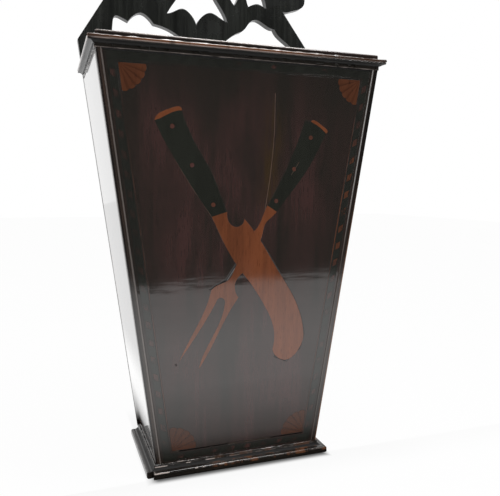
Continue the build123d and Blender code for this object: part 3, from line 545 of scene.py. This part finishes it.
class KNIFEBOX_OT_mouldings(Step):
    """Polish the cornice, the base and the corner beads"""

    bl_idname = "knife_box.mouldings"
    bl_label = "Mouldings"

    def execute(self, context):
        self.polish, self.wear, _ = settings(context)
        for grain, cornice, base in (
            ("X", ("cornice_front",), ("base_front",)),
            ("Y", ("cornice_left", "cornice_right"), ("base_left", "base_right")),
        ):
            assign(self.cornice_finish(grain), *cornice)
            assign(self.base_finish(grain), *base)
        assign(self.bead_finish(), "left_bead", "right_bead")
        return {"FINISHED"}

    def moulding(self, name, grain):
        """Old dark polish, thicker on the returns than on the front."""
        coat = 0.6 if grain == "Y" and "cornice" in name else 0.0
        dark = [0.6 * value for value in self.polish.ground]
        pale = self.polish.moulding
        sockets = {"Coat Weight": coat}
        return Wood(name + grain, dark, pale, grain, 0.16, self.wear.arris, gloss=0.55, **sockets)

    def stripe(self, wood, height, half, soft=0.35 * MM):
        """A level stripe round a moulding."""
        return abs(wood.z - height).between(half + soft, half)

    def cornice_finish(self, grain):
        """Painted highlights on the lip's arrises and lower arris, broken like rubbed polish, bare wood on
        its face and painted shade in the hollow.
        """
        polish = self.polish
        wood = self.moulding("cornice_grain_", grain)
        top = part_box("cornice_front")[1].z
        run = highlight_run(wood) if grain == "X" else wood.spots(70, 0.40, 0.55, (0, 1, 0))
        # Bare wood on the lip's face, laid where the painted highlight runs, so it also paints the
        # highlight's orange fringe.
        wood.paint(self.stripe(wood, top - 2.1 * MM, 1.3 * MM) * run * 0.9, polish.bare)
        # Painted shade in the hollow under the lip, also made duller.
        lip_hollow_shade = self.stripe(wood, NECK_Z + 5.2 * MM, 1.2 * MM)
        wood.paint(lip_hollow_shade * 0.8, polish.grime_and_shade).dull(lip_hollow_shade, 0.5)
        # Painted highlight line across the lip's face, broken like rubbed polish.
        wood.paint(self.stripe(wood, top - 3.2 * MM, 0.35 * MM) * run * 0.55, polish.rubbed_and_highlight)
        # Painted highlight on the cornice's lower arris, broken in patches.
        broken = wood.spots(60, 0.3, 0.5) * 0.7 + 0.3
        wood.paint(self.stripe(wood, NECK_Z + 0.3 * MM, 0.4 * MM) * broken * 0.30, polish.rubbed_and_highlight)
        # Painted highlight along the lip's top arris, near its outer face.
        outwards = (abs(wood.x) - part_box("cornice_right")[1].x) | (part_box("cornice_front")[0].y - wood.y)
        rim = outwards.between(-1.8 * MM, -1.1 * MM)
        wood.paint(self.stripe(wood, top - 0.3 * MM, 0.45 * MM) * rim * run, polish.rubbed_and_highlight)
        return wood.done()

    def base_finish(self, grain):
        """Pale arrises painted as glints and rubbed wear, strongest at the left, redder wear at the right
        and painted shade in the hollow between them.
        """
        polish = self.polish
        wood = self.moulding("base_grain_", grain)
        # Painted shade in the hollow of the base moulding, also made duller.
        base_hollow_shade = self.stripe(wood, FOOT_Z - 3.9 * MM, 1.0 * MM)
        wood.paint(base_hollow_shade * 0.9, polish.grime_and_shade).dull(base_hollow_shade, 0.5)
        # Painted glints on the base's arrises, broken like chipped polish and strongest at the left.
        left = wood.x.between(0.005, -0.045) * 0.8 + 0.2 if grain == "X" else 0.25
        for drop, half, share in BASE_ARRIS_GLINTS:
            glints_and_chips = wood.spots(130 - 12 * drop, 0.47, 0.56, (1, 1, 0)) * left
            arris = self.stripe(wood, FOOT_Z - drop * MM, half * MM, 0.25 * MM)
            wood.paint(arris * glints_and_chips * share, polish.rubbed_and_highlight)
        red = wood.x.between(-0.05, -0.01) * wood.spots(75, 0.46, 0.58, (1, 1, 0.3))
        wood.paint(self.stripe(wood, FOOT_Z - 6.6 * MM, 1.6 * MM) * red * 0.8, polish.bare)
        wood.paint(self.stripe(wood, FOOT_Z - 1.6 * MM, 1.2 * MM) * red * 0.4, polish.bare)
        return wood.done()

    def bead_finish(self):
        """Brown beads with a painted highlight along the left one's inner arris and a painted white
        highlight down the right one.
        """
        polish = self.polish
        wood = Wood("bead_wood", polish.moulding, polish.bead, "Z", 0.14, self.wear.arris)
        edge = wood.from_side()
        streaks = wood.spots(45, 0.28, 0.42, (0, 0, 1))
        upper = wood.z.between(0.20, 0.36)
        right = wood.x.between(0, 0.01)
        wood.paint(edge.between(0.0, 0.5 * MM) * edge.between(2.2 * MM, 1.6 * MM) * 0.8, polish.grime_and_shade)
        wood.paint(edge.between(5.0 * MM, 4.0 * MM) * right * (upper * 0.5 + 0.4), polish.grime_and_shade)
        wood.paint(edge.between(2.0 * MM, 0.8 * MM) * right * (1 - upper) * streaks, polish.bare)
        # Painted highlight along the left bead's inner arris, broken in streaks.
        pale = edge.between(4.2 * MM, 4.5 * MM) * edge.between(5.9 * MM, 5.5 * MM) * (streaks * 0.6 + 0.4)
        wood.paint(pale * (1 - right) * 0.9, [0.25 * value for value in polish.rubbed_and_highlight])
        # Painted white highlight down the right bead, fading towards the bottom.
        white = edge.between(5.0 * MM, 5.3 * MM) * edge.between(6.2 * MM, 5.9 * MM) * (streaks * 0.4 + 0.6)
        wood.paint(white * right * (upper * 0.92 + 0.08), polish.bead_highlight)
        return wood.done()


FOOT_JOINTS = ((-68 * MM, -13 * MM), (36 * MM, 78 * MM))  # where the foot's string is lost
RIGHT_BORDER = (80 * MM, 90 * MM)  # the right border lies beyond this at the heights below
WARM_STRING = ((0.21, 0.235), (0.315, 0.285))  # heights at which its string is redder
WARM_CHECKS = ((0.20, 0.24), (0.36, 0.33))  # heights at which its checks are redder


class KNIFEBOX_OT_inlay(Step):
    """Colour the inlaid knife, fork, fans, stringing and banding"""

    bl_idname = "knife_box.inlay"
    bl_label = "Inlay"

    def execute(self, context):
        polish, _, _ = settings(context)
        fruitwood = Wood("fruitwood", polish.fruitwood_shade, polish.fruitwood, "Z", 0.09, gloss=0.9)
        assign(fruitwood.done(), "knife_blade", "fork_prongs", "knife_cap", "fork_cap")
        paler = [1.4 * value for value in polish.handle]
        handle = Wood("dyed_handles", polish.handle, paler, "Z", 0.08, gloss=0.8)
        handle.paint(handle.line(HANDLE_SCRATCH, 0.7 * MM) * 0.5, polish.crack)
        assign(handle.done(), "knife_handle", "fork_handle")
        assign(Wood("rivet_wood", polish.fan, polish.rivet, "Z", 0.12).done(), "knife_rivets", "fork_rivets")
        for name in self.named("fan_"):
            assign(self.fan_finish(polish, name), name)
        assign(self.string_finish(polish), *self.named("string_"))
        assign(self.foot_finish(polish), "string_foot")
        band = Wood("band_wood", polish.band, [1.4 * value for value in polish.band], "Z", 0.075)
        assign(self.with_cornice_shade(polish, band).done(), *self.named("band_"))
        assign(self.check_finish(polish), *self.named("checks_"))
        return {"FINISHED"}

    def named(self, start):
        """The nodes whose names start in this way."""
        return [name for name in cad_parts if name.startswith(start)]

    def with_cornice_shade(self, polish, wood):
        """Painted shadow under the cornice."""
        return wood.paint(wood.cornice_shade_line(), polish.grime_and_shade)

    def fan_finish(self, polish, name):
        """A fan of sand-shaded leaves, each darker along one edge."""
        fan = Wood(name + "_wood", [0.75 * value for value in polish.fan], polish.fan, "Z", 0.08, gloss=0.9)
        low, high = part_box(name)
        corner_x = low.x if "left" in name else high.x
        corner_z = high.z if "top" in name else low.z
        right, up = abs(fan.x - corner_x), abs(fan.z - corner_z)
        leaf = (up.angle_over(right) * (LEAVES / (math.pi / 2))).fraction()
        fan.paint(leaf.between(0.45, 1.0) * 0.55, [0.30 * value for value in polish.fan])
        # Painted shade on the lower fans.
        fan.paint(fan.z.between(0.10, 0.05) * 0.55, [0.35 * value for value in polish.fan])
        return fan.done()

    def string_finish(self, polish):
        """Stringing that is redder in places at the right and fades at the top."""
        string = Wood("string_wood", polish.moulding, polish.string, "Z", 0.08)
        warm = string.x.between(*RIGHT_BORDER) * string.from_to(*WARM_STRING)
        string.paint(warm * 0.8, polish.fan)
        string.paint(string.z.between(0.37, 0.41) * (string.spots(50, 0.35, 0.55) * 0.2 + 0.8), polish.band)
        return string.done()

    def foot_finish(self, polish):
        """The foot's string, lost in places, where a dark open joint is left."""
        foot = Wood("foot_string_wood", polish.grime_and_shade, polish.moulding, "X", 0.5, gloss=0.05)
        lost = None
        for start, end in FOOT_JOINTS:
            part = foot.x.between(start, start + MM) * foot.x.between(end, end - MM)
            lost = part if lost is None else lost | part
        foot.paint(1 - lost, [1.7 * value for value in polish.moulding])
        foot.paint(lost, polish.grime_and_shade)
        return foot.done()

    def check_finish(self, polish):
        """Checks that have nearly worn away at the top and are uneven elsewhere."""
        check = Wood("check_wood", polish.moulding, polish.check, "Z", 0.075)
        top = check.z.between(NECK_Z - 14 * MM, NECK_Z - 11 * MM)
        worn = check.spots(85, 0.46, 0.62) * (1 - top) * 0.85 | top * check.spots(60, 0.66, 0.54)
        warm = check.x.between(*RIGHT_BORDER) * check.from_to(*WARM_CHECKS)
        check.paint(warm * 0.7, polish.fan)
        check.paint(worn, polish.band)
        return self.with_cornice_shade(polish, check).done()


# --- Metal ----------------------------------------------------------------------------------
def old_metal(name, colour, roughness, tarnish):
    """Metal with dull patches."""
    finish = Finish(name, Metallic=1.0)
    patch = finish.noise(finish.place(), 260, 5, 0.65).between(0.38, 0.66)
    scratch = finish.noise(finish.place((1, 0.08, 0.08)), 2600, 2, 0.5)
    finish.feed(**{"Base Color": finish.mix(patch * tarnish, colour, [0.3 * value for value in colour])})
    finish.feed(Roughness=patch * 0.25 + roughness)
    finish.bump(scratch * 0.3 + patch * 0.5, 0.08 * MM, 0.4, 0.3 * MM)
    return finish


class KNIFEBOX_OT_metal(Step):
    """Tarnish the hinges, screws, pins and nails"""

    bl_idname = "knife_box.metal"
    bl_label = "Metal"

    def execute(self, context):
        polish, _, _ = settings(context)
        brass = old_metal("old_brass", polish.brass, 0.28, 0.6)
        assign(brass, "hinge_fixed_leaves", "hinge_lid_leaves", "fixed_leaf_screws", "lid_leaf_screws")
        assign(old_metal("dull_steel", HINGE_STEEL, 0.35, 0.5), "hinge_pins")
        assign(old_metal("rusted_iron", polish.iron, 0.6, 0.5), "backboard_nails", "bottom_nails")
        return {"FINISHED"}


# --- Worn edges -----------------------------------------------------------------------------
FLAT = math.radians(1)  # faces at less than this to each other become one
SHARP = math.radians(35)  # edges sharper than this are rounded
FACETED = math.radians(50)  # edges sharper than this stay crisp after that
# Pieces whose edges are worn, the axis they run along and the body they ride on.
WORN_PIECES = {
    "lid": ("X", "lid"),
    "cornice_front": ("X", "case"),
    "cornice_left": ("Y", "case"),
    "cornice_right": ("Y", "case"),
    "base_front": ("X", "case"),
    "base_left": ("Y", "case"),
    "base_right": ("Y", "case"),
}


class KNIFEBOX_OT_worn_edges(Step):
    """Round and knock the edges that hands and dusters reach"""

    bl_idname = "knife_box.worn_edges"
    bl_label = "Worn Edges"

    def execute(self, context):
        _, wear, _ = settings(context)
        self.knocks = bpy.data.textures.new("knocks", "CLOUDS")
        self.knocks.noise_scale = wear.knock_size
        self.knocks.noise_depth = 2
        self.knocks.contrast = 3.0
        self.knocks.intensity = 0.85
        for name, (axis, body) in WORN_PIECES.items():
            piece = self.copy(name)
            self.cut_lengths(piece, "XYZ".index(axis), wear.knock_size / 2)
            self.round_arrises(piece, wear.arris)
            self.knock(piece, wear.knock_depth)
            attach(piece, body)
            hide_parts(name)
        return {"FINISHED"}

    def copy(self, name):
        """A copy of the moulded piece, in edit mode, with its seams merged."""
        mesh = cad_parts[name].data.copy()
        piece = bpy.data.objects.new(name + "_worn", mesh)
        bpy.context.scene.collection.objects.link(piece)
        bpy.ops.object.select_all(action="DESELECT")
        piece.select_set(True)
        bpy.context.view_layer.objects.active = piece
        bpy.ops.object.mode_set(mode="EDIT")
        bpy.ops.mesh.select_all(action="SELECT")
        bpy.ops.mesh.remove_doubles(threshold=0.01 * MM)
        bpy.ops.mesh.dissolve_limited(angle_limit=FLAT)
        bpy.ops.mesh.normals_make_consistent(inside=False)
        return piece

    def cut_lengths(self, piece, axis, length):
        """Cut the piece across its length, so that its edges can wander."""
        places = [corner[axis] for corner in piece.bound_box]
        normal = [float(index == axis) for index in range(3)]
        count = int((max(places) - min(places)) / length)
        for step in range(1, count):
            place = [0.0, 0.0, 0.0]
            place[axis] = min(places) + step * length
            bpy.ops.mesh.select_all(action="SELECT")
            bpy.ops.mesh.bisect(plane_co=place, plane_no=normal)

    def round_arrises(self, piece, radius):
        """Bevel the sharp edges and remember them for the knocks."""
        bpy.ops.mesh.select_all(action="DESELECT")
        bpy.ops.mesh.select_mode(type="EDGE")
        bpy.ops.mesh.edges_select_sharp(sharpness=SHARP)
        bpy.ops.mesh.bevel(offset=radius, segments=2, clamp_overlap=True)
        piece.vertex_groups.new(name="arris")
        bpy.ops.object.vertex_group_assign()
        bpy.ops.object.mode_set(mode="OBJECT")

    def knock(self, piece, depth):
        """Push the rounded edges in, more at some places; what stands on the floor stays."""
        foot = [vertex.index for vertex in piece.data.vertices if vertex.co.z < 2 * MM]
        piece.vertex_groups["arris"].remove(foot)
        knocked = piece.modifiers.new("knocked", "DISPLACE")
        knocked.texture = self.knocks
        knocked.texture_coords = "LOCAL"
        knocked.mid_level = 0.0
        knocked.strength = -depth
        knocked.vertex_group = "arris"
        bpy.ops.object.modifier_apply(modifier="knocked")
        bpy.ops.object.shade_smooth_by_angle(angle=FACETED)
        flat = piece.modifiers.new("flat_faces", "WEIGHTED_NORMAL")
        flat.keep_sharp = True
        flat.weight = 100
        bpy.ops.object.modifier_apply(modifier="flat_faces")


# --- Stage ----------------------------------------------------------------------------------
SHEET_WIDTH = 8
SHEET_COLOUR = (0.93, 0.93, 0.93)
DIM_ROOM = 0.06  # how bright polished wood sees the room behind the camera
WHITE = (1, 1, 1)
# Each lamp's place, the point that it looks at and its size.
OVERHEAD = ((0.25, -0.25, 1.35), (0.0, 0.0, 0.2), (0.2, 0.9))
FILL = ((-1.3, -0.9, 0.75), (0.0, 0.0, 0.35), (0.9, 0.9))
CLIP = 20 * MM  # the camera sees nothing nearer than this
FLANK = 16  # how much sooner the sheet brightens beside the box, where its sides mirror it
SHEET_REACH = 0.9  # distance from the box that a stop at 1 would stand for
# How white polished wood sees the sheet: a painted shadow beside the box, brightening outwards.
SHEET_IN_POLISH = [
    (share, (white, white, white))
    for share, white in (
        (0.014, 0.0),
        (0.032, 0.12),
        (0.050, 0.34),
        (0.072, 0.48),
        (0.12, 0.70),
        (0.205, 0.94),
        (0.36, 1.0),
        (0.60, 0.82),
        (0.75, 0.74),
    )
]


class KNIFEBOX_OT_stage(Step):
    """Lay the pale sheet, hang the lamps and set the camera"""

    bl_idname = "knife_box.stage"
    bl_label = "Stage"

    def execute(self, context):
        _, _, stage = settings(context)
        self.sheet(stage)
        self.air(context.scene, stage)
        self.lamp("overhead_lamp", *OVERHEAD, stage.overhead)
        self.lamp("fill_lamp", *FILL, stage.fill)
        self.camera(context.scene, stage)
        context.scene.view_settings.view_transform = "Standard"
        return {"FINISHED"}

    def sheet(self, stage):
        """The pale sheet under the box; it ends in front, where the room behind the camera is dark. It
        carries a painted contact shadow in front of the base and a painted shadow beside the box in what the
        polish mirrors.
        """
        length = stage.floor_reach - stage.floor_front
        bpy.ops.mesh.primitive_plane_add(size=1, location=(0, stage.floor_front + length / 2, 0))
        sheet = bpy.context.object
        sheet.name = "pale_sheet"
        sheet.scale = (SHEET_WIDTH, length, 1)
        bpy.ops.object.transform_apply(location=True, rotation=True, scale=True)
        finish = Finish("pale_sheet", 0.9, **{"Base Color": SHEET_COLOUR, "Specular IOR Level": 0.0})
        camera = finish.node("LightPath", output="Is Camera Ray")
        gloss = finish.node("LightPath", output="Is Glossy Ray")
        x, y, _ = finish.axes()
        low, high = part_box("base_front")[0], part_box("backboard")[1]
        beside, before = abs(x) + low.x, low.y - y
        flank = beside * FLANK * y.between(low.y, low.y + 10 * MM)
        away = flank | before | (y - high.y)
        edge = beside | before
        # Painted contact shadow on the sheet in front of the base, weaker at the left.
        contact_shadow = edge.between(stage.contact, 0) * y.between(0.03, 0.0)
        contact_shadow = contact_shadow * (x.between(-0.10, -0.09) * 0.7 + 0.3)
        # What the polish mirrors: the sheet with a painted shadow beside the box.
        mirrored = finish.node("ValToRGB", {"stops": SHEET_IN_POLISH}, {"Fac": away * (1 / SHEET_REACH)})
        strength = camera * (1 - contact_shadow * 0.93) + gloss * mirrored * stage.mirrored
        glow = finish.node("Emission", None, {"Color": WHITE, "Strength": strength})
        share = camera * (0.97 - away.between(stage.shade, 0) * 0.12) + gloss
        plain = Value(finish, finish.shader.outputs[0])
        shown = finish.node("MixShader", None, {0: share, 1: plain, 2: glow})
        finish.plug(finish.output.inputs["Surface"], shown)
        sheet.data.materials.append(finish.material)

    def air(self, scene, stage):
        """White to the eye; gloss sees white behind the box and a dim room in front of it."""
        world = bpy.data.worlds.new("studio_air")
        scene.world = world
        world.use_nodes = True
        sky = Nodes(world.node_tree)
        _, back, _ = sky.split(sky.node("TexCoord", output="Generated"))
        behind = back.between(-0.25, 0.15)
        seen = sky.node("LightPath", output="Is Camera Ray")
        gloss = sky.node("LightPath", output="Is Glossy Ray")
        room = behind * (1 - DIM_ROOM) + DIM_ROOM
        strength = seen + gloss * room * (1 - seen) + (1 - seen) * (1 - gloss) * stage.air
        light = sky.node("Background", None, {"Color": WHITE, "Strength": strength})
        output = sky.tree.nodes.new("ShaderNodeOutputWorld")
        sky.plug(output.inputs["Surface"], light)

    def lamp(self, name, place, target, size, power):
        """A soft rectangular lamp that looks at a point."""
        bpy.ops.object.light_add(type="AREA", location=place)
        lamp = bpy.context.object
        lamp.name = name
        lamp.data.shape = "RECTANGLE"
        lamp.data.size, lamp.data.size_y = size
        lamp.data.energy = power
        lamp.rotation_euler = (Vector(target) - Vector(place)).to_track_quat("-Z", "Y").to_euler()

    def camera(self, scene, stage):
        """The camera, from its place, turn, dip and roll."""
        bpy.ops.object.camera_add()
        camera = bpy.context.object
        camera.name = "camera"
        camera.data.lens = stage.lens
        turned = Matrix.Rotation(-stage.turn, 4, "Z") @ Matrix.Rotation(math.pi / 2 - stage.dip, 4, "X")
        camera.matrix_world = Matrix.Translation(stage.eye) @ turned @ Matrix.Rotation(stage.roll, 4, "Z")
        camera.data.clip_start = CLIP
        scene.camera = camera


# --- Sidebar and registration ---------------------------------------------------------------
STEPS = (
    KNIFEBOX_OT_boards,
    KNIFEBOX_OT_backboard,
    KNIFEBOX_OT_mouldings,
    KNIFEBOX_OT_inlay,
    KNIFEBOX_OT_metal,
    KNIFEBOX_OT_worn_edges,
    KNIFEBOX_OT_stage,
)


class KNIFEBOX_PT_dressing(Panel):
    """List of the steps"""

    bl_label = "Knife Box"
    bl_idname = "KNIFEBOX_PT_dressing"
    bl_space_type = "VIEW_3D"
    bl_region_type = "UI"
    bl_category = "Knife Box"

    def draw(self, context):
        for step in STEPS:
            self.layout.operator(step.bl_idname)
        for group in settings(context):
            for name in group.bl_rna.properties.keys():
                if name not in ("name", "rna_type"):
                    self.layout.prop(group, name)


GROUPS = {
    "knife_box_polish": PolishSettings,
    "knife_box_wear": WearSettings,
    "knife_box_stage": StageSettings,
}


def register():
    for name, group in GROUPS.items():
        bpy.utils.register_class(group)
        setattr(bpy.types.Scene, name, PointerProperty(type=group))
    for step in STEPS:
        bpy.utils.register_class(step)
    bpy.utils.register_class(KNIFEBOX_PT_dressing)


def unregister():
    bpy.utils.unregister_class(KNIFEBOX_PT_dressing)
    for step in reversed(STEPS):
        bpy.utils.unregister_class(step)
    for name, group in GROUPS.items():
        delattr(bpy.types.Scene, name)
        bpy.utils.unregister_class(group)


def main():
    register()
    for step in STEPS:
        bpy.ops.object.select_all(action="DESELECT")
        group, name = step.bl_idname.split(".")
        getattr(getattr(bpy.ops, group), name)()


if __name__ == "__main__":
    main()
